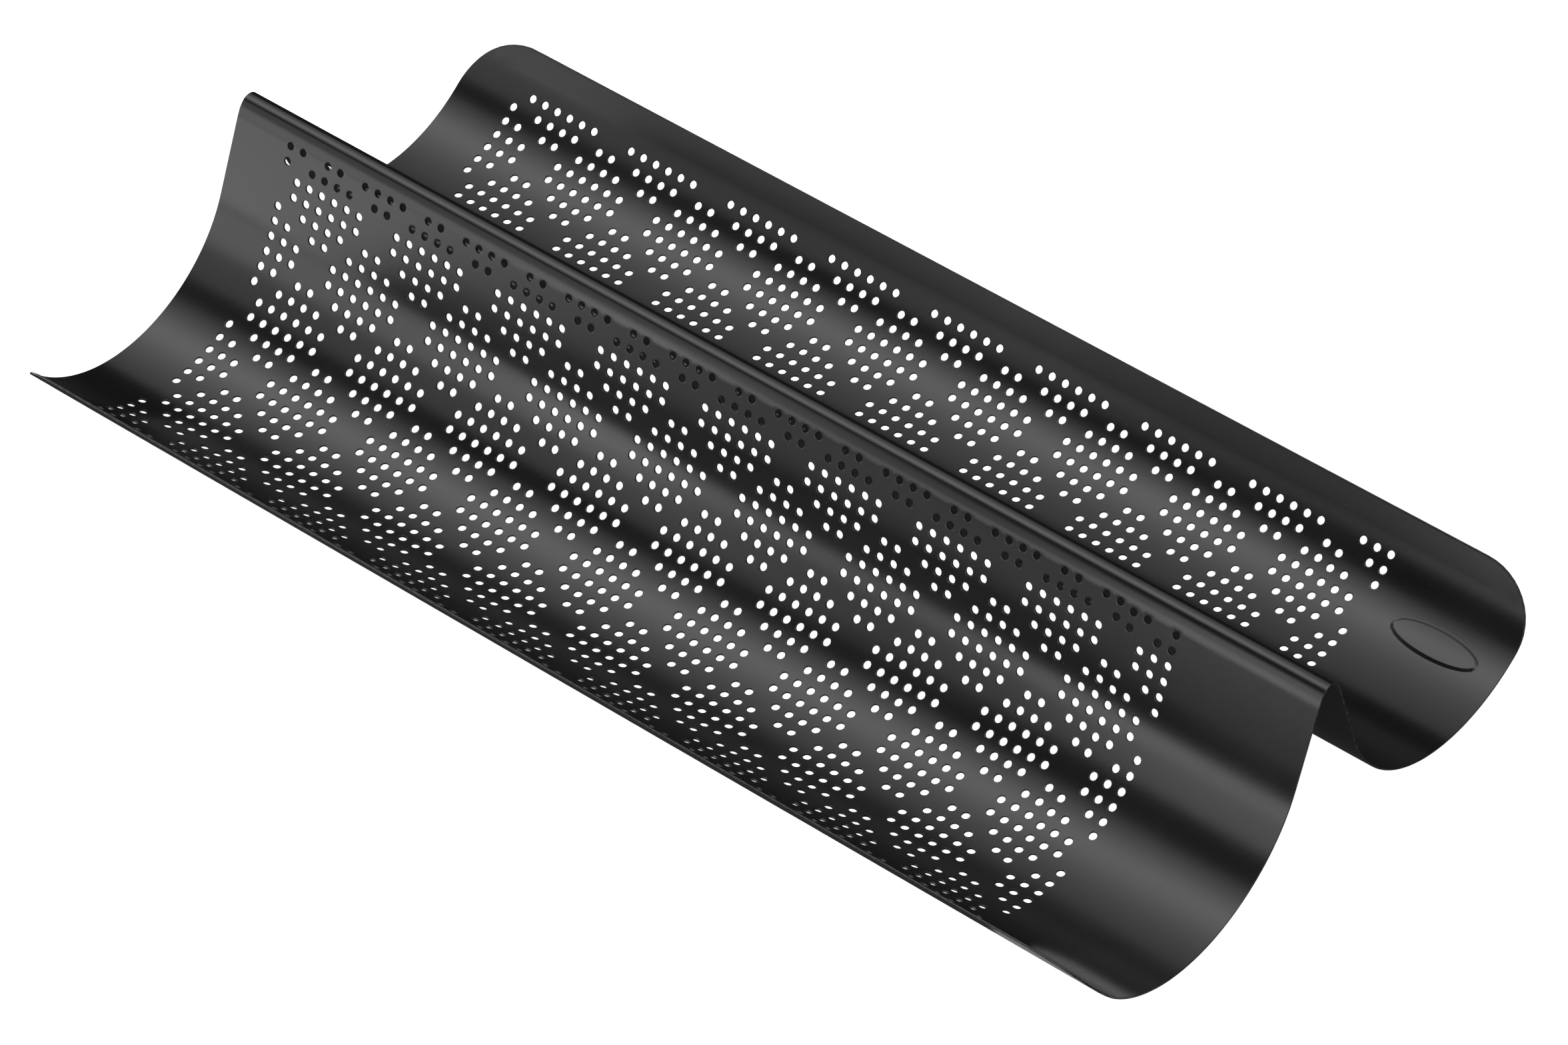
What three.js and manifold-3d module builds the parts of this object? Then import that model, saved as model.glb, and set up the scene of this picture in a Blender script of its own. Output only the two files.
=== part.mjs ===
// Baguette tray: one thin steel sheet pressed into two long round troughs, with a rounded ridge between.
// Millimetres, +Z up. The origin is on the floor below the middle of the ridge. +X runs along the troughs.
import * as THREE from "three";
import { mergeVertices } from "three/addons/utils/BufferGeometryUtils.js";
import Module from "manifold-3d";

// Driving dimensions. Radii are to the middle of the sheet, and slopes are measured from level, in degrees.
const LENGTH = 386;
const SHEET = 0.6;
const TROUGH_RADIUS = 47.5;
const CREST_RADIUS = 3.2;
const CREST_SLOPE = 45; // where the tight bend along the crest gives way to the wider shoulder
const SHOULDER_RADIUS = 9.3;
const RIDGE_SLOPE = 70.5;
const RIDGE_FLAT = 25.5; // straight stretch of each side of the ridge
const RIM_SLOPE = 55.5;
const RIM_FLAT = 7.4; // straight stretch below each rim
const CORNER_RADIUS = 20;

// Blank oval panel pressed up from below, at the +X end of the far trough.
const PANEL_LENGTH = 30;
const PANEL_WIDTH = 10;
const PANEL_RISE = 0.5;
const PANEL_FROM_END = 22;
const PANEL_FROM_RIM = 29;

// Facets. One of each trough's facets lies flat on the floor: both slopes are odd multiples of half a step.
const TROUGH_STEP = 3;
const CREST_STEP = 9;
const SHOULDER_STEP = 5.1;
const CORNER_STEPS = 12;
const PANEL_STEPS = 24;
const BEYOND = 5; // how far a cutting body runs past what it cuts

const wasm = await Module();
wasm.setup();

const radians = THREE.MathUtils.degToRad;
const crestSlope = radians(CREST_SLOPE);
const ridgeSlope = radians(RIDGE_SLOPE);
const rimSlope = radians(RIM_SLOPE);

// Centres of the bends, as (distance from the ridge's middle, height).
const easing = SHOULDER_RADIUS - CREST_RADIUS;
const bothRadii = SHOULDER_RADIUS + TROUGH_RADIUS;
const troughCentre = new THREE.Vector2(
  bothRadii * Math.sin(ridgeSlope) + RIDGE_FLAT * Math.cos(ridgeSlope) - easing * Math.sin(crestSlope),
  (TROUGH_RADIUS + SHEET / 2) * Math.cos(radians(TROUGH_STEP / 2)),
);
const shoulderCentre = new THREE.Vector2(
  -easing * Math.sin(crestSlope),
  troughCentre.y + RIDGE_FLAT * Math.sin(ridgeSlope) - bothRadii * Math.cos(ridgeSlope),
);
const crestCentre = new THREE.Vector2(0, shoulderCentre.y + easing * Math.cos(crestSlope));

// Points of an arc from one angle to another, where 0 is straight up from the centre.
function arcPoints(centre, radius, from, to, step) {
  const count = Math.round(Math.abs(to - from) / radians(step));
  return Array.from({ length: count + 1 }, (_, i) => {
    const angle = from + ((to - from) * i) / count;
    return new THREE.Vector2(centre.x + radius * Math.sin(angle), centre.y + radius * Math.cos(angle));
  });
}

// One side of the section, from the crest out to the rim, at a height above the middle of the sheet.
function halfSection(above) {
  const crest = arcPoints(crestCentre, CREST_RADIUS + above, 0, crestSlope, CREST_STEP);
  const bend = SHOULDER_RADIUS + above;
  const shoulder = arcPoints(shoulderCentre, bend, crestSlope, ridgeSlope, SHOULDER_STEP).slice(1);
  const radius = TROUGH_RADIUS - above;
  const trough = arcPoints(troughCentre, radius, Math.PI + ridgeSlope, Math.PI - rimSlope, TROUGH_STEP);
  const rim = trough.at(-1).clone();
  rim.x += RIM_FLAT * Math.cos(rimSlope);
  rim.y += RIM_FLAT * Math.sin(rimSlope);
  return [...crest, ...shoulder, ...trough, rim];
}

// The section from rim to rim, as one open line of points.
function wholeSection(above) {
  const half = halfSection(above);
  const mirrored = half.slice(1).map((p) => new THREE.Vector2(-p.x, p.y));
  return [...mirrored.reverse(), ...half];
}

// A body pushed along X from a shape drawn in the YZ plane, centred on x.
function alongX(shape, length, x = 0) {
  const geometry = new THREE.ExtrudeGeometry(shape, { depth: length, bevelEnabled: false });
  geometry.applyMatrix4(
    new THREE.Matrix4().makeBasis(
      new THREE.Vector3(0, 1, 0),
      new THREE.Vector3(0, 0, 1),
      new THREE.Vector3(1, 0, 0),
    ),
  );
  return geometry.translate(x - length / 2, 0, 0);
}

function solidOf(geometry) {
  geometry.deleteAttribute("normal");
  geometry.deleteAttribute("uv");
  const merged = mergeVertices(geometry);
  return new wasm.Manifold(
    new wasm.Mesh({
      numProp: 3,
      vertProperties: merged.attributes.position.array,
      triVerts: new Uint32Array(merged.index.array),
    }),
  );
}

function geometryOf(solid) {
  const mesh = solid.getMesh();
  const geometry = new THREE.BufferGeometry();
  geometry.setAttribute("position", new THREE.BufferAttribute(mesh.vertProperties, mesh.numProp));
  geometry.setIndex(new THREE.BufferAttribute(mesh.triVerts, 1));
  const flatShaded = geometry.toNonIndexed();
  flatShaded.computeVertexNormals();
  return flatShaded;
}

function pressedSheet() {
  const outline = [...wholeSection(SHEET / 2), ...wholeSection(-SHEET / 2).reverse()];
  return solidOf(alongX(new THREE.Shape(outline), LENGTH));
}

// Distance from the ridge's middle of the point that lies this far down the sheet from the rim.
function distanceOut(fromRim) {
  const bent = Math.max(fromRim - RIM_FLAT, 0);
  const flat = RIM_FLAT - Math.min(fromRim, RIM_FLAT);
  const bendEnd = TROUGH_RADIUS * Math.sin(rimSlope - bent / TROUGH_RADIUS);
  return troughCentre.x + bendEnd + flat * Math.cos(rimSlope);
}

// What the rounded corner of the flat blank leaves off, seen from above, at one of the four corners.
function cornerCutter(alongSign, acrossSign) {
  const curve = Array.from({ length: CORNER_STEPS + 1 }, (_, i) => {
    const angle = (Math.PI / 2) * (i / CORNER_STEPS);
    const fromEnd = CORNER_RADIUS * (1 - Math.cos(angle));
    const fromRim = CORNER_RADIUS * (1 - Math.sin(angle));
    return new THREE.Vector2(LENGTH / 2 - fromEnd, distanceOut(fromRim));
  });
  const start = curve[0];
  const end = curve.at(-1);
  const outside = [
    new THREE.Vector2(end.x, end.y + BEYOND),
    new THREE.Vector2(start.x + BEYOND, end.y + BEYOND),
    new THREE.Vector2(start.x + BEYOND, start.y),
  ];
  const outline = [...curve, ...outside].map((p) => new THREE.Vector2(p.x * alongSign, p.y * acrossSign));
  const shape = new THREE.Shape(outline);
  return solidOf(new THREE.ExtrudeGeometry(shape, { depth: LENGTH / 2, bevelEnabled: false }));
}

// An oval post standing on the far trough's wall, square to it.
function panelPost() {
  const oval = new THREE.Shape();
  oval.absellipse(0, 0, PANEL_LENGTH / 2, PANEL_WIDTH / 2, 0, 2 * Math.PI);
  const post = new THREE.ExtrudeGeometry(oval, {
    depth: 2 * BEYOND,
    bevelEnabled: false,
    curveSegments: PANEL_STEPS,
  });
  const slope = rimSlope - (PANEL_FROM_RIM - RIM_FLAT) / TROUGH_RADIUS;
  post.translate(0, 0, -TROUGH_RADIUS - BEYOND);
  post.rotateX(slope);
  return solidOf(post.translate(LENGTH / 2 - PANEL_FROM_END, troughCentre.x, troughCentre.y));
}

// The far trough's wall between two distances above the middle of the sheet, at the +X end.
function wallLayer(low, high) {
  const from = Math.PI;
  const to = Math.PI - rimSlope;
  const inner = arcPoints(troughCentre, TROUGH_RADIUS - high, from, to, TROUGH_STEP);
  const outer = arcPoints(troughCentre, TROUGH_RADIUS - low, from, to, TROUGH_STEP);
  const x = LENGTH / 2 - PANEL_FROM_END;
  return solidOf(alongX(new THREE.Shape([...inner, ...outer.reverse()]), PANEL_LENGTH + BEYOND, x));
}

// Raises the oval panel on the upper face and hollows it from below, so that the sheet keeps its thickness.
function withPanel(sheet) {
  const post = panelPost();
  const overlap = SHEET / 4;
  const raised = wallLayer(SHEET / 2 - overlap, SHEET / 2 + PANEL_RISE).intersect(post);
  const hollow = wallLayer(-SHEET / 2 - overlap, -SHEET / 2 + PANEL_RISE).intersect(post);
  return sheet.add(raised).subtract(hollow);
}

function tray() {
  let sheet = pressedSheet();
  for (const alongSign of [-1, 1]) {
    for (const acrossSign of [-1, 1]) {
      sheet = sheet.subtract(cornerCutter(alongSign, acrossSign));
    }
  }
  const coating = new THREE.MeshStandardMaterial({ color: 0x1c1c1d, roughness: 0.38, metalness: 0.1 });
  const mesh = new THREE.Mesh(geometryOf(withPanel(sheet)), coating);
  mesh.name = "tray";
  return mesh;
}

const baguetteTray = new THREE.Group();
baguetteTray.name = "baguette_tray";
baguetteTray.add(tray());

export default baguetteTray;
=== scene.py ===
"""Baguette tray: one thin sheet of black coated steel, punched in a diamond pattern and pressed into troughs.

Everything is in metres. The sheet is laid out flat first, as a pattern of (x, s) points, where x runs along the
troughs and s is the distance across the sheet from the middle of the ridge. Then it is bent to its section.
"""

import math

import bpy
import numpy as np
from mathutils import Matrix, Vector


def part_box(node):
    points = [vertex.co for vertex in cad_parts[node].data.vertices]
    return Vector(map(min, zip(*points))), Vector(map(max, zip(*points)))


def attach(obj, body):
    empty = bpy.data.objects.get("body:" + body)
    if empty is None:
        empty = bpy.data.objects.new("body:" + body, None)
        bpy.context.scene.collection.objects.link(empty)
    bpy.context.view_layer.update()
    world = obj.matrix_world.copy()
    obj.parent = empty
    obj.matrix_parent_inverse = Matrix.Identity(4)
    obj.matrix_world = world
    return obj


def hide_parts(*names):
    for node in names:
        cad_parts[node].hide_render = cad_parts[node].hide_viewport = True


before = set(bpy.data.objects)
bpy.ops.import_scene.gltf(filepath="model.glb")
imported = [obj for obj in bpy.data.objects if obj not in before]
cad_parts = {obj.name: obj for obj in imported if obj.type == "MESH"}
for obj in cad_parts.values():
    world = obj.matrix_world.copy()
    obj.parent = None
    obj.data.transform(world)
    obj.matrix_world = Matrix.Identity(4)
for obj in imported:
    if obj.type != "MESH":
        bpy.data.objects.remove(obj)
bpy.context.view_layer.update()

MM = 0.001

# The sheet and its section, to the middle of the sheet. Slopes are measured from level.
SHEET = 0.6 * MM
TROUGH_RADIUS = 47.5 * MM
CREST_RADIUS = 3.2 * MM
CREST_SLOPE = math.radians(45)
SHOULDER_RADIUS = 9.3 * MM
RIDGE_SLOPE = math.radians(70.5)
RIM_SLOPE = math.radians(55.5)
CORNER_RADIUS = 20.0 * MM
EDGE_ROUNDING = 0.14 * MM

# The holes: a square lattice with a diamond pattern of gaps that repeats every eight holes.
PITCH = 4.75 * MM
HOLE_RADIUS = 1.25 * MM
HOLE_SIDES = 12
COLUMNS = 68
FIRST_COLUMN_FROM_END = 20.77 * MM
ROWS = 27
FIRST_ROW = 1.5 * PITCH
NEAR_FIELD_SHIFT = 0.48 * MM
DIAMOND = 8
DIAMOND_CENTRE_COLUMN = 15.5
DIAMOND_CENTRE_ROW = 4
LAST_STROKE_COLUMNS = 4
LAST_STROKE_SHIFT = -0.95 * MM
FAR_CORNER_HOLES = 3
FAR_CORNER_SHIFT = 0.75 * MM

# Blank oval panel pressed up from below in the far trough, at the +X end.
PANEL_LENGTH = 30.0 * MM
PANEL_WIDTH = 10.0 * MM
PANEL_RISE = 0.5 * MM
PANEL_SLOPE_WIDTH = 1.4 * MM
PANEL_FROM_END = 22.0 * MM
PANEL_FROM_RIM = 29.0 * MM
PANEL_RINGS = 6

# Spacing of the mesh away from the holes.
CORNER_STEPS = 12
CREST_STRIPS = 14
RIM_STRIPS = 3
MARGIN_STRIP = 2.5 * MM
SQUEEZE_FROM = 110.0 * MM

# The coating's colours, from its darkest to its lightest. The edge grey among them is a painted highlight, not
# a colour of the coating.
DEEP_BLACK = (0.006, 0.006, 0.0062, 1)
SOFT_BLACK = (0.0085, 0.0085, 0.0087, 1)
GRAIN_GREY = (0.016, 0.016, 0.0165, 1)
# Painted highlight: a lighter grey for the lips of the holes and the cut edge.
EDGE_HIGHLIGHT_GREY = (0.07, 0.07, 0.073, 1)
SPECK_GREY = (0.16, 0.16, 0.165, 1)
COATING_IOR = 1.72

# The camera looks down along the troughs from beyond the +X end of the near one.
CAMERA_AIM = Vector((0.0204, -0.0168, 0.0304))
CAMERA_DISTANCE = 2.2205
CAMERA_AZIMUTH = math.radians(39.4)
CAMERA_ELEVATION = math.radians(41.0)
CAMERA_ROLL = math.radians(0.79)
CAMERA_LENS = 186.35

# The table and the surroundings.
FLOOR_SIZE = 9.0
FLOOR_GLOW = 1.0
FLOOR_IN_GLOSS = 0.03
SURROUNDINGS = 0.018
SURROUNDINGS_SEEN = 0.9

# The diffuser overhead: strips side by side, brightest a little to the near side of the tray.
STUDIO_TURN = math.radians(-13)
CEILING_HEIGHT = 0.65
CEILING_ALONG = (-1.6, 1.0)
CEILING_ACROSS = (-0.40, 0.57)
CEILING_STRIPS = 12
CEILING_PEAK = -0.08
CEILING_BASE = 0.3
CEILING_EXTRA = 1.35
CEILING_FADE_AWAY = 0.22
CEILING_FADE_NEAR = 0.2

tray_low, tray_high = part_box("tray")
table_top = tray_low.z + 2 * MM

# The other lights: name, extent along the studio, its two long edges as (away, height), radiance, turn.
SOFTBOXES = (
    ("near_softbox_high", (0.0, 0.7), (-0.45, 0.13), (-0.45, 0.35), 1.0, STUDIO_TURN),
    ("near_softbox_low", (0.0, 0.7), (-0.45, 0.04), (-0.45, 0.13), 1.6, STUDIO_TURN),
    ("middle_softbox_high", (-0.2, 0.0), (-0.45, 0.13), (-0.45, 0.35), 0.4, STUDIO_TURN),
    ("middle_softbox_low", (-0.2, 0.0), (-0.45, 0.04), (-0.45, 0.13), 1.0, STUDIO_TURN),
    ("left_reflector_low", (-1.4, -0.2), (-0.6, 0.02), (-0.6, 0.26), 1.2, STUDIO_TURN),
    ("left_reflector_high", (-1.4, -0.2), (-0.6, 0.26), (-0.6, 0.6), 0.5, STUDIO_TURN),
    ("table_glow_left", (-1.3, -0.21), (-0.6, table_top), (-0.1, table_top), 1.5, STUDIO_TURN),
    ("table_glow_right", (0.04, 0.35), (-0.46, table_top), (-0.28, table_top), 1.2, STUDIO_TURN),
    ("table_glow_near", (-0.26, 0.0), (-0.28, table_top), (-0.12, table_top), 1.25, 0.0),
    ("glow_under_ridge", (0.165, 0.26), (-0.06, table_top), (0.02, table_top), 0.3, STUDIO_TURN),
)


class Section:
    """The line that the middle of the sheet follows across the tray, fitted into the CAD tray's box."""

    def __init__(self, low, high):
        self.trough_z = low.z + SHEET / 2 + TROUGH_RADIUS
        self.crest_z = high.z - SHEET / 2 - CREST_RADIUS
        easing = SHOULDER_RADIUS - CREST_RADIUS
        self.shoulder_y = -easing * math.sin(CREST_SLOPE)
        self.shoulder_z = self.crest_z - easing * math.cos(CREST_SLOPE)
        both_radii = SHOULDER_RADIUS + TROUGH_RADIUS
        rise = self.shoulder_z - self.trough_z + both_radii * math.cos(RIDGE_SLOPE)
        ridge_flat = rise / math.sin(RIDGE_SLOPE)
        across = both_radii * math.sin(RIDGE_SLOPE) + ridge_flat * math.cos(RIDGE_SLOPE)
        self.trough_y = self.shoulder_y + across
        rim_y = self.trough_y + (TROUGH_RADIUS + SHEET / 2) * math.sin(RIM_SLOPE)
        rim_flat = ((high.y - low.y) / 2 - rim_y) / math.cos(RIM_SLOPE)
        self.crest_end = CREST_RADIUS * CREST_SLOPE
        self.shoulder_end = self.crest_end + SHOULDER_RADIUS * (RIDGE_SLOPE - CREST_SLOPE)
        self.trough_start = self.shoulder_end + ridge_flat
        self.trough_end = self.trough_start + TROUGH_RADIUS * (RIDGE_SLOPE + RIM_SLOPE)
        self.rim = self.trough_end + rim_flat

    def slope(self, s):
        """Angle that the sheet falls at, away from the ridge, at a distance s from the ridge's middle."""
        out = np.abs(s)
        crest = np.minimum(out, self.crest_end) / CREST_RADIUS
        shoulder = np.clip(out - self.crest_end, 0, self.shoulder_end - self.crest_end) / SHOULDER_RADIUS
        trough = np.clip(out - self.trough_start, 0, self.trough_end - self.trough_start) / TROUGH_RADIUS
        return np.sign(s) * (crest + shoulder - trough)

    def place(self, s):
        """(y, z) of the middle of the sheet."""
        out = np.abs(s)
        slope = np.abs(self.slope(s))
        crest_y = CREST_RADIUS * np.sin(slope)
        crest_z = self.crest_z + CREST_RADIUS * np.cos(slope)
        fall = np.maximum(out - self.shoulder_end, 0)
        ridge_y = self.shoulder_y + SHOULDER_RADIUS * np.sin(slope) + fall * math.cos(RIDGE_SLOPE)
        ridge_z = self.shoulder_z + SHOULDER_RADIUS * np.cos(slope) - fall * math.sin(RIDGE_SLOPE)
        turn = np.sign(s) * self.slope(s)
        beyond = np.maximum(out - self.trough_end, 0)
        trough_y = self.trough_y - TROUGH_RADIUS * np.sin(turn) + beyond * math.cos(RIM_SLOPE)
        trough_z = self.trough_z - TROUGH_RADIUS * np.cos(turn) + beyond * math.sin(RIM_SLOPE)
        stretches = [out < self.crest_end, out < self.trough_start]
        y = np.select(stretches, [crest_y, ridge_y], trough_y)
        z = np.select(stretches, [crest_z, ridge_z], trough_z)
        return np.sign(s) * y, z


section = Section(tray_low, tray_high)
half_length = (tray_high.x - tray_low.x) / 2
middle_x = (tray_high.x + tray_low.x) / 2


def corner_angle(x):
    """How far round a corner of the blank this x lies: 0 where the corner starts, a quarter turn at the end."""
    inside = max(abs(x - middle_x) - (half_length - CORNER_RADIUS), 0.0)
    return math.asin(min(inside / CORNER_RADIUS, 1.0))


def rim_at(x):
    return section.rim - CORNER_RADIUS * (1 - math.cos(corner_angle(x)))


def outward(x, s):
    """Direction out of the blank's outline at a point on it, in the flat pattern."""
    turn = corner_angle(x)
    along = math.copysign(math.sin(turn), x - middle_x)
    return along, math.copysign(math.cos(turn), s)


def column_x(column):
    return middle_x - half_length + FIRST_COLUMN_FROM_END + column * PITCH


def row_s(row, side):
    """Distance from the ridge's middle of a row of holes, counted out from the ridge. Near is side -1."""
    shift = NEAR_FIELD_SHIFT if side < 0 else 0.0
    return side * (FIRST_ROW + row * PITCH + shift)


def is_punched(column, row):
    """Whether the pattern has a hole here: each cell of the diamond pattern leaves out its two diagonals."""
    def from_centre(value, centre):
        offset = (value - centre) % DIAMOND
        return min(offset, DIAMOND - offset)

    across = from_centre(row + FIRST_ROW / PITCH, DIAMOND_CENTRE_ROW)
    along = from_centre(column, DIAMOND_CENTRE_COLUMN)
    return abs(across - along) > 0.25


class Pattern:
    """Points and faces of the flat sheet. Each point gives a vertex on the upper and one on the lower face."""

    def __init__(self):
        self.points = []
        self.lifts = []
        self.tilts = []
        self.edges = []
        self.faces = []
        self.holes = []
        self.outline = []

    def point(self, x, s, lift=0.0, tilt=(0.0, 0.0), edge=0.0):
        self.points.append((x, s))
        self.lifts.append(lift)
        self.tilts.append(tilt)
        self.edges.append(edge)
        return len(self.points) - 1

    def face(self, *corners):
        self.faces.append(corners)

    def zip_loops(self, outer, inner, centre):
        """Fills the band between two loops that both run anticlockwise round a centre."""

        def angles(loop):
            offsets = [(self.points[p][0] - centre[0], self.points[p][1] - centre[1]) for p in loop]
            return [math.atan2(s, x) % (2 * math.pi) for x, s in offsets]

        def from_zero(loop):
            turn = angles(loop)
            start = turn.index(min(turn))
            return loop[start:] + loop[:start], sorted(turn) + [min(turn) + 2 * math.pi]

        outer, outer_turn = from_zero(outer)
        inner, inner_turn = from_zero(inner)
        i = j = 0
        while i < len(outer) or j < len(inner):
            a = outer[i % len(outer)]
            b = inner[j % len(inner)]
            step_outer = j == len(inner) or (i < len(outer) and outer_turn[i + 1] <= inner_turn[j + 1])
            if step_outer:
                i += 1
                self.face(a, outer[i % len(outer)], b)
            else:
                j += 1
                self.face(a, inner[j % len(inner)], b)


def line_positions():
    """The x of each line across the sheet, and how many of them come before the holes."""
    corner = [CORNER_RADIUS * (1 - math.sin(k * math.pi / 2 / CORNER_STEPS)) for k in range(CORNER_STEPS + 1)]
    field = [column_x(column) - PITCH / 2 for column in range(COLUMNS + 1)]
    left = [middle_x - half_length + d for d in reversed(corner)]
    left = [x for x in left if x < field[0] - MM / 2]
    right = [middle_x + half_length - d for d in corner]
    gap = right[0] - field[-1]
    count = round(gap / MARGIN_STRIP)
    margin = [field[-1] + gap * k / count for k in range(1, count)]
    return left + field + margin + right, len(left)


def field_lines(side):
    """The s of each line through one side's holes: one before each row, one through it, one past the last."""
    rows = range(ROWS - 1, -1, -1) if side < 0 else range(ROWS)
    lines = []
    for row in rows:
        lines += [row_s(row, side) - PITCH / 2, row_s(row, side)]
    return lines + [row_s(rows[-1], side) + PITCH / 2]


def row_positions():
    """The s of each line along the sheet, the first line of each row of holes, and the lines inside a field."""
    near, far = field_lines(-1), field_lines(1)
    near_rim = list(np.linspace(-section.rim, near[0], RIM_STRIPS + 1)[:-1])
    far_rim = list(np.linspace(far[-1], section.rim, RIM_STRIPS + 1)[1:])
    crest = list(np.linspace(near[-1], far[0], CREST_STRIPS + 1)[1:-1])
    near_start = len(near_rim)
    far_start = near_start + len(near) + len(crest)
    first = {}
    for row in range(ROWS):
        first[(-1, row)] = near_start + 2 * (ROWS - 1 - row)
        first[(1, row)] = far_start + 2 * row
    inside = set(range(near_start + 1, near_start + len(near) - 1))
    inside |= set(range(far_start + 1, far_start + len(far) - 1))
    return near_rim + near + crest + far + far_rim, first, inside


def hole_shift(column, row, side):
    """The last columns were punched in a stroke of their own, and the far corner's few holes in another."""
    if side > 0 and column + row > COLUMNS + ROWS - 2 - FAR_CORNER_HOLES:
        return FAR_CORNER_SHIFT
    return LAST_STROKE_SHIFT if column >= COLUMNS - LAST_STROKE_COLUMNS else 0.0


def line_shift(x, s):
    """How far a line along the sheet moves with the holes of the last columns."""
    start = column_x(COLUMNS - LAST_STROKE_COLUMNS) - PITCH / 2
    share = min(max((x - start) / PITCH + 0.5, 0.0), 1.0)
    by_far_corner = s > row_s(ROWS - FAR_CORNER_HOLES, 1) - 0.6 * PITCH
    return share * ((LAST_STROKE_SHIFT + FAR_CORNER_SHIFT) / 2 if by_far_corner else LAST_STROKE_SHIFT)


def squeezed(x, s):
    """Moves a line's point in towards the trough where the blank's corner is rounded off."""
    beyond = abs(s) - SQUEEZE_FROM
    if beyond <= 0:
        return s
    share = (rim_at(x) - SQUEEZE_FROM) / (section.rim - SQUEEZE_FROM)
    return math.copysign(SQUEEZE_FROM + beyond * share, s)


def lay_grid(pattern, xs, rows, inside):
    """One point for each crossing of a line across with a line along."""
    grid = []
    for a, x in enumerate(xs):
        line = []
        for b, s in enumerate(rows):
            at_end = a in (0, len(xs) - 1)
            at_rim = b in (0, len(rows) - 1)
            shifted = s + line_shift(x, s) if b in inside else s
            place = (x, squeezed(x, shifted))
            if at_end or at_rim:
                out = outward(x, s) if at_rim else (math.copysign(1, x - middle_x), 0.0)
                place = (place[0] - out[0] * EDGE_ROUNDING, place[1] - out[1] * EDGE_ROUNDING)
            line.append(pattern.point(*place, edge=float(at_end or at_rim)))
        grid.append(line)
    return grid


def punch_hole(pattern, grid, a, b, x, s):
    """A hole in the cell whose lower corner is at line a and row line b."""
    turn = 2 * math.pi / HOLE_SIDES
    loop = [
        pattern.point(x + HOLE_RADIUS * math.cos(k * turn), s + HOLE_RADIUS * math.sin(k * turn), edge=1.0)
        for k in range(HOLE_SIDES)
    ]
    cell = [grid[a + 1][b + 1], grid[a + 1][b + 2], grid[a][b + 2], grid[a][b + 1], grid[a][b], grid[a + 1][b]]
    pattern.zip_loops(cell, loop, (x, s))
    pattern.holes.append((loop, (x, s)))


def panel_height(depth):
    """Height of the pressed panel and its steepness, at a distance in from its outline."""
    share = min(max(depth / PANEL_SLOPE_WIDTH, 0.0), 1.0)
    height = PANEL_RISE * share * share * (3 - 2 * share)
    steepness = PANEL_RISE * 6 * share * (1 - share) / PANEL_SLOPE_WIDTH
    return height, steepness


def press_panel(pattern, perimeter, x, s):
    """Rings from a block's perimeter in to the middle of the oval panel."""
    long_half = PANEL_LENGTH / 2
    short_half = PANEL_WIDTH / 2
    turns = []
    for p in perimeter:
        px, ps = pattern.points[p]
        turns.append(math.atan2((ps - s) / short_half, (px - x) / long_half))
    previous = perimeter
    depths = [PANEL_SLOPE_WIDTH * k / (PANEL_RINGS - 1) for k in range(PANEL_RINGS)]
    depths.append((PANEL_SLOPE_WIDTH + short_half) / 2)
    for depth in depths:
        height, steepness = panel_height(depth)
        along, across = long_half - depth, short_half - depth
        ring = []
        for turn in turns:
            inward = Vector((-math.cos(turn) / along, -math.sin(turn) / across)).normalized()
            place = (x + along * math.cos(turn), s + across * math.sin(turn))
            ring.append(pattern.point(*place, lift=height, tilt=tuple(inward * steepness)))
        for k in range(len(ring)):
            after = (k + 1) % len(ring)
            pattern.face(previous[k], previous[after], ring[after], ring[k])
        previous = ring
    middle = pattern.point(x, s, lift=PANEL_RISE)
    for k in range(len(previous)):
        pattern.face(previous[k], previous[(k + 1) % len(previous)], middle)


def block_perimeter(grid, a0, a1, b0, b1):
    """The grid's points round a block, anticlockwise seen from above."""
    low = [grid[a][b0] for a in range(a0, a1)]
    right = [grid[a1][b] for b in range(b0, b1)]
    high = [grid[a][b1] for a in range(a1, a0, -1)]
    left = [grid[a0][b] for b in range(b1, b0, -1)]
    return low + right + high + left


def panel_block(xs, rows, x, s):
    """Line numbers of the block of the grid that the panel needs room in."""
    room = 2 * MM
    a0 = max(a for a, at in enumerate(xs) if at < x - PANEL_LENGTH / 2 - room)
    a1 = min(a for a, at in enumerate(xs) if at > x + PANEL_LENGTH / 2 + room)
    b0 = max(b for b, at in enumerate(rows) if at < s - PANEL_WIDTH / 2 - room)
    b1 = min(b for b, at in enumerate(rows) if squeezed(xs[a1], at) > s + PANEL_WIDTH / 2 + room)
    return a0, a1, b0, b1


def flat_pattern():
    """The whole blank: the field of holes, the plain margins, the panel and the outline."""
    pattern = Pattern()
    xs, first_column = line_positions()
    rows, first_row, inside = row_positions()
    grid = lay_grid(pattern, xs, rows, inside)
    punched = set()
    for side in (-1, 1):
        for row in range(ROWS):
            for column in range(COLUMNS):
                if not is_punched(column, row):
                    continue
                a, b = first_column + column, first_row[(side, row)]
                x = column_x(column)
                s = row_s(row, side) + hole_shift(column, row, side)
                punch_hole(pattern, grid, a, b, x, s)
                punched |= {(a, b), (a, b + 1)}
    panel = (middle_x + half_length - PANEL_FROM_END, section.rim - PANEL_FROM_RIM)
    a0, a1, b0, b1 = panel_block(xs, rows, *panel)
    press_panel(pattern, block_perimeter(grid, a0, a1, b0, b1), *panel)
    for a in range(len(xs) - 1):
        for b in range(len(rows) - 1):
            in_panel = a0 <= a < a1 and b0 <= b < b1
            if (a, b) not in punched and not in_panel:
                pattern.face(grid[a][b], grid[a + 1][b], grid[a + 1][b + 1], grid[a][b + 1])
    pattern.outline = block_perimeter(grid, 0, len(xs) - 1, 0, len(rows) - 1)
    return pattern


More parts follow.
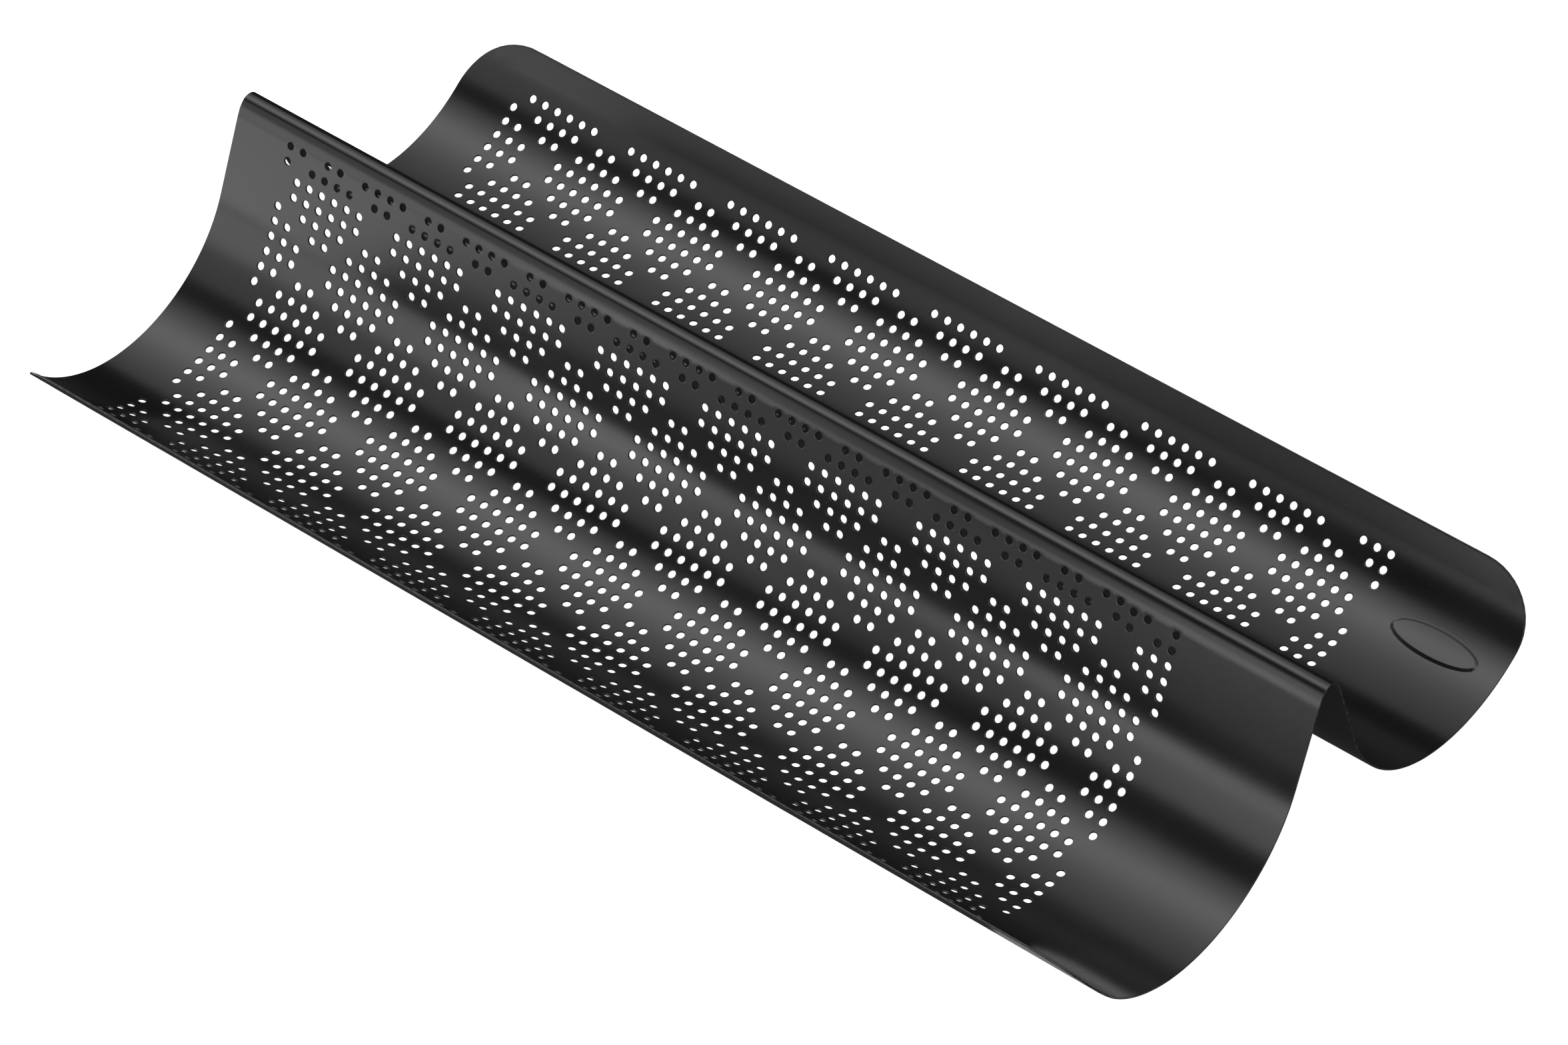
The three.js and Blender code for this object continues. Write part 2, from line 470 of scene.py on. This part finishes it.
class Skin:
    """Vertices (x, s, height above the middle of the sheet) and faces with a normal at each corner."""

    def __init__(self, pattern):
        flat = np.array(pattern.points)
        lift = np.array(pattern.lifts)
        self.count = len(flat)
        self.vertices = [np.column_stack([flat, lift + SHEET / 2]), np.column_stack([flat, lift - SHEET / 2])]
        self.edges = [np.array(pattern.edges)] * 2
        tilt = np.array(pattern.tilts)
        up = np.column_stack([-tilt, np.ones(self.count)])
        self.up = up / np.linalg.norm(up, axis=1, keepdims=True)
        self.faces = []
        self.normals = []

    def face(self, corners, normals):
        self.faces.append(corners)
        self.normals.extend(normals)

    def cover(self, pattern):
        """The upper and lower faces of the sheet."""
        for corners in pattern.faces:
            self.face(corners, [self.up[c] for c in corners])
            turned = tuple(reversed(corners))
            self.face([c + self.count for c in turned], [-self.up[c] for c in turned])

    def line_holes(self, pattern):
        """The walls of the holes."""
        for loop, (x, s) in pattern.holes:
            inward = [(x - pattern.points[p][0], s - pattern.points[p][1], 0.0) for p in loop]
            for k, p in enumerate(loop):
                after = (k + 1) % len(loop)
                q = loop[after]
                near, far = inward[k], inward[after]
                self.face([p, q, q + self.count, p + self.count], [near, far, far, near])

    def close_outline(self, pattern):
        """The cut edge all round, with both its corners rounded off."""
        loop = pattern.outline
        out = []
        for p in loop:
            x, s = pattern.points[p]
            at_corner = corner_angle(x) > 0 and abs(s) > rim_at(x) - MM
            on_end = abs(abs(x - middle_x) - half_length) < 2 * EDGE_ROUNDING and not at_corner
            out.append((math.copysign(1, x - middle_x), 0.0) if on_end else outward(x, s))
        full = [
            (pattern.points[p][0] + o[0] * EDGE_ROUNDING, pattern.points[p][1] + o[1] * EDGE_ROUNDING)
            for p, o in zip(loop, out)
        ]
        height = SHEET / 2 - EDGE_ROUNDING
        first = 2 * self.count
        self.vertices.append(np.column_stack([np.array(full), np.full(len(loop), height)]))
        self.vertices.append(np.column_stack([np.array(full), np.full(len(loop), -height)]))
        self.edges.append(np.ones(2 * len(loop)))
        lean = math.radians(20)

        def leaning(k, up):
            return (out[k][0] * math.cos(lean), out[k][1] * math.cos(lean), up * math.sin(lean))

        for k, p in enumerate(loop):
            after = (k + 1) % len(loop)
            q = loop[after]
            high, next_high = first + k, first + after
            low, next_low = high + len(loop), next_high + len(loop)
            above, below = (0.0, 0.0, 1.0), (0.0, 0.0, -1.0)
            up, next_up = leaning(k, 1), leaning(after, 1)
            down, next_down = leaning(k, -1), leaning(after, -1)
            self.face([q, p, high, next_high], [above, above, up, next_up])
            self.face([next_high, high, low, next_low], [next_up, up, down, next_down])
            self.face([next_low, low, p + self.count, q + self.count], [next_down, down, below, below])


def bent(flat):
    """Points of the flat sheet, with a height above its middle, in their places on the tray."""
    slope = section.slope(flat[:, 1])
    y, z = section.place(flat[:, 1])
    return np.column_stack([flat[:, 0], y + flat[:, 2] * np.sin(slope), z + flat[:, 2] * np.cos(slope)])


def bent_directions(directions, s):
    """Directions of the flat sheet turned to lie on the tray at each distance s."""
    slope = section.slope(s)
    along, across, up = directions.T
    y = across * np.cos(slope) + up * np.sin(slope)
    z = -across * np.sin(slope) + up * np.cos(slope)
    turned = np.column_stack([along, y, z])
    return turned / np.linalg.norm(turned, axis=1, keepdims=True)


def tray_mesh():
    pattern = flat_pattern()
    skin = Skin(pattern)
    skin.cover(pattern)
    skin.line_holes(pattern)
    skin.close_outline(pattern)
    corners = np.concatenate([np.array(f) for f in skin.faces])
    used, corners = np.unique(corners, return_inverse=True)
    flat = np.concatenate(skin.vertices)[used]
    ends = np.cumsum([len(f) for f in skin.faces])
    mesh = bpy.data.meshes.new("perforated_tray")
    mesh.from_pydata(bent(flat), [], [list(f) for f in np.split(corners, ends[:-1])])
    mesh.polygons.foreach_set("use_smooth", np.ones(len(mesh.polygons), dtype=bool))
    edge = mesh.attributes.new("cut_edge", "FLOAT", "POINT")
    edge.data.foreach_set("value", np.concatenate(skin.edges)[used].astype(np.float32))
    normals = bent_directions(np.array(skin.normals, dtype=float), flat[corners, 1])
    mesh.normals_split_custom_set(normals)
    mesh.update()
    return mesh


class Nodes:
    """Short calls for making and joining a material's nodes."""

    def __init__(self, tree):
        self.tree = tree
        self.tree.nodes.clear()

    def add(self, kind, sockets=None, **settings):
        node = self.tree.nodes.new(kind)
        for name, value in settings.items():
            setattr(node, name, value)
        for name, value in (sockets or {}).items():
            if isinstance(value, bpy.types.NodeSocket):
                self.tree.links.new(value, node.inputs[name])
            else:
                node.inputs[name].default_value = value
        return node

    def noise(self, place, scale, detail=2.0, roughness=0.5):
        sockets = {"Vector": place, "Scale": scale, "Detail": detail, "Roughness": roughness}
        return self.add("ShaderNodeTexNoise", sockets).outputs["Fac"]

    def remap(self, value, low, high, to_low, to_high, smooth=False):
        sockets = {"Value": value, "From Min": low, "From Max": high, "To Min": to_low, "To Max": to_high}
        kind = "SMOOTHSTEP" if smooth else "LINEAR"
        return self.add("ShaderNodeMapRange", sockets, interpolation_type=kind).outputs["Result"]

    def maths(self, operation, a, b):
        return self.add("ShaderNodeMath", {0: a, 1: b}, operation=operation).outputs["Value"]

    def mix_colour(self, factor, a, b):
        node = self.add("ShaderNodeMix", data_type="RGBA")
        self.tree.links.new(factor, node.inputs[0])
        for socket, value in ((node.inputs[6], a), (node.inputs[7], b)):
            if isinstance(value, bpy.types.NodeSocket):
                self.tree.links.new(value, socket)
            else:
                socket.default_value = value
        return node.outputs[2]

    def bump(self, height, distance, strength, normal=None):
        sockets = {"Height": height, "Distance": distance, "Strength": strength}
        if normal is not None:
            sockets["Normal"] = normal
        return self.add("ShaderNodeBump", sockets).outputs["Normal"]


def black_coating():
    """Semi-gloss black non-stick coating, with a fine orange peel, stray bright specks and a painted highlight
    along the lips of the holes and the cut edge.
    """
    material = bpy.data.materials.new("black_coating")
    material.use_nodes = True
    nodes = Nodes(material.node_tree)
    place = nodes.add("ShaderNodeTexCoord").outputs["Object"]
    edge = nodes.add("ShaderNodeAttribute", attribute_name="cut_edge").outputs["Fac"]

    cloud = nodes.noise(place, 45.0, 3.0)
    black = nodes.mix_colour(cloud, DEEP_BLACK, SOFT_BLACK)
    grain = nodes.noise(place, 5200.0, 2.0)
    black = nodes.mix_colour(nodes.remap(grain, 0.55, 0.8, 0.0, 0.35), black, GRAIN_GREY)

    cells = nodes.add("ShaderNodeTexVoronoi", {"Vector": place, "Scale": 330.0, "Randomness": 1.0})
    near_middle = nodes.remap(cells.outputs["Distance"], 0.02, 0.055, 1.0, 0.0, smooth=True)
    rare = nodes.add("ShaderNodeSeparateColor", {"Color": cells.outputs["Color"]})
    chosen = nodes.remap(rare.outputs["Red"], 0.86, 0.98, 0.0, 1.0)
    speck = nodes.maths("MULTIPLY", near_middle, chosen)
    black = nodes.mix_colour(speck, black, SPECK_GREY)

    # Painted highlight: the lips of the holes and the cut edge turn a lighter grey, in patches.
    highlight_patches = nodes.noise(place, 900.0, 3.0)
    lip = nodes.remap(edge, 0.86, 1.0, 0.0, 1.0, smooth=True)
    painted_edge_highlight = nodes.maths("MULTIPLY", lip, nodes.remap(highlight_patches, 0.42, 0.68, 0.0, 0.5))
    black = nodes.mix_colour(painted_edge_highlight, black, EDGE_HIGHLIGHT_GREY)

    smear = nodes.noise(place, 18.0, 4.0, 0.6)
    roughness = nodes.remap(smear, 0.3, 0.7, 0.18, 0.23)
    fine = nodes.remap(grain, 0.3, 0.7, -0.02, 0.03)
    roughness = nodes.maths("ADD", roughness, fine)
    roughness = nodes.maths("ADD", roughness, nodes.maths("MULTIPLY", lip, 0.08))

    peel = nodes.bump(nodes.noise(place, 1500.0, 3.0, 0.55), 0.02 * MM, 0.35)
    wave = nodes.bump(nodes.noise(place, 140.0, 2.0), 0.05 * MM, 0.2, peel)
    lip_fall = nodes.maths("MULTIPLY", lip, -1.0)
    rounded = nodes.bump(lip_fall, 0.06 * MM, 0.6, wave)

    shader = nodes.add(
        "ShaderNodeBsdfPrincipled",
        {"Base Color": black, "Roughness": roughness, "Normal": rounded, "IOR": COATING_IOR},
    )
    nodes.add("ShaderNodeOutputMaterial", {"Surface": shader.outputs["BSDF"]})
    return material


def pale_floor():
    """A white table lit from below: it stays pale under the tray, but is dim in the tray's reflections."""
    material = bpy.data.materials.new("pale_table")
    material.use_nodes = True
    nodes = Nodes(material.node_tree)
    place = nodes.add("ShaderNodeTexCoord").outputs["Object"]
    tint = nodes.mix_colour(nodes.noise(place, 6.0), (0.8, 0.8, 0.8, 1), (0.83, 0.83, 0.83, 1))
    sockets = {"Base Color": tint, "Roughness": 0.9, "Specular IOR Level": 0.1}
    sockets["Emission Color"] = (1, 1, 1, 1)
    sockets["Emission Strength"] = FLOOR_GLOW
    shader = nodes.add("ShaderNodeBsdfPrincipled", sockets)
    seen_in_gloss = nodes.add("ShaderNodeLightPath").outputs["Is Glossy Ray"]
    dim = nodes.add("ShaderNodeEmission", {"Color": (1, 1, 1, 1), "Strength": FLOOR_IN_GLOSS})
    choices = {0: seen_in_gloss, 1: shader.outputs["BSDF"], 2: dim.outputs["Emission"]}
    either = nodes.add("ShaderNodeMixShader", choices)
    nodes.add("ShaderNodeOutputMaterial", {"Surface": either.outputs["Shader"]})
    return material


def make_floor():
    mesh = bpy.data.meshes.new("floor")
    half = FLOOR_SIZE / 2
    z = tray_low.z
    corners = [(-half, -half, z), (half, -half, z), (half, half, z), (-half, half, z)]
    mesh.from_pydata(corners, [], [(0, 1, 2, 3)])
    floor = bpy.data.objects.new("floor", mesh)
    bpy.context.collection.objects.link(floor)
    mesh.materials.append(pale_floor())


def make_tray():
    tray = bpy.data.objects.new("perforated_tray", tray_mesh())
    bpy.context.collection.objects.link(tray)
    tray.data.materials.append(black_coating())
    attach(tray, "root")
    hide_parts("tray")


def studio(along, away, height, turn):
    """A place in the studio, turned from the tray's own length. Away is towards the tray's far side."""
    return Matrix.Rotation(turn, 3, "Z") @ Vector((along, away, height))


def softbox(name, along, near_edge, far_edge, radiance, turn):
    """A rectangular light between two long edges, each given as (away, height), that faces the tray."""
    middle_along = sum(along) / 2
    start = studio(middle_along, *near_edge, turn)
    end = studio(middle_along, *far_edge, turn)
    light = bpy.data.lights.new(name, "AREA")
    light.shape = "RECTANGLE"
    light.size = along[1] - along[0]
    light.size_y = (end - start).length
    light.energy = radiance * math.pi * light.size * light.size_y
    lamp = bpy.data.objects.new(name, light)
    bpy.context.collection.objects.link(lamp)
    right = studio(1, 0, 0, turn)
    up = (end - start).normalized()
    back = right.cross(up)
    if back.dot((start + end) / 2 - Vector((0, 0, tray_high.z))) < 0:
        right, back = -right, -back
    turned = Matrix((right, up, back)).transposed().to_4x4()
    lamp.matrix_world = Matrix.Translation((start + end) / 2) @ turned
    lamp.visible_camera = False


def ceiling_radiance(away):
    """Highest on its near side. It falls off slowly towards the far side and sooner towards the near edge."""
    off_peak = away - CEILING_PEAK
    if off_peak > 0:
        fade = math.exp(-off_peak / CEILING_FADE_AWAY)
    else:
        fade = math.exp(-((off_peak / CEILING_FADE_NEAR) ** 2))
    return CEILING_BASE + CEILING_EXTRA * fade


def make_lights():
    """A diffuser overhead, and low lights on the near side and on the table."""
    edges = np.linspace(*CEILING_ACROSS, CEILING_STRIPS + 1)
    for k in range(CEILING_STRIPS):
        near_edge = (edges[k], CEILING_HEIGHT)
        far_edge = (edges[k + 1], CEILING_HEIGHT)
        radiance = ceiling_radiance((edges[k] + edges[k + 1]) / 2)
        softbox(f"ceiling_{k}", CEILING_ALONG, near_edge, far_edge, radiance, STUDIO_TURN)
    for light in SOFTBOXES:
        softbox(*light)


def make_world():
    """Dim all round, but pale where the camera looks past the floor."""
    world = bpy.data.worlds.new("studio")
    bpy.context.scene.world = world
    world.use_nodes = True
    nodes = Nodes(world.node_tree)
    seen = nodes.add("ShaderNodeLightPath").outputs["Is Camera Ray"]
    strength = nodes.remap(seen, 0.0, 1.0, SURROUNDINGS, SURROUNDINGS_SEEN)
    background = nodes.add("ShaderNodeBackground", {"Color": (1, 1, 1, 1), "Strength": strength})
    nodes.add("ShaderNodeOutputWorld", {"Surface": background.outputs["Background"]})


def make_camera():
    level = math.cos(CAMERA_ELEVATION)
    sideways = math.sin(CAMERA_AZIMUTH)
    back = Vector((sideways * level, -math.cos(CAMERA_AZIMUTH) * level, math.sin(CAMERA_ELEVATION)))
    side = Vector((math.cos(CAMERA_AZIMUTH), sideways, 0.0))
    top = back.cross(side)
    right = side * math.cos(CAMERA_ROLL) + top * math.sin(CAMERA_ROLL)
    up = back.cross(right)
    data = bpy.data.cameras.new("camera")
    data.lens = CAMERA_LENS
    data.sensor_width = 36.0
    data.sensor_fit = "HORIZONTAL"
    data.clip_start = 0.05
    data.clip_end = 50.0
    camera = bpy.data.objects.new("camera", data)
    bpy.context.collection.objects.link(camera)
    turned = Matrix((right, up, back)).transposed().to_4x4()
    camera.matrix_world = Matrix.Translation(CAMERA_AIM + back * CAMERA_DISTANCE) @ turned
    bpy.context.scene.camera = camera


bpy.context.scene.view_settings.view_transform = "Standard"
make_camera()
make_floor()
make_lights()
make_world()
make_tray()
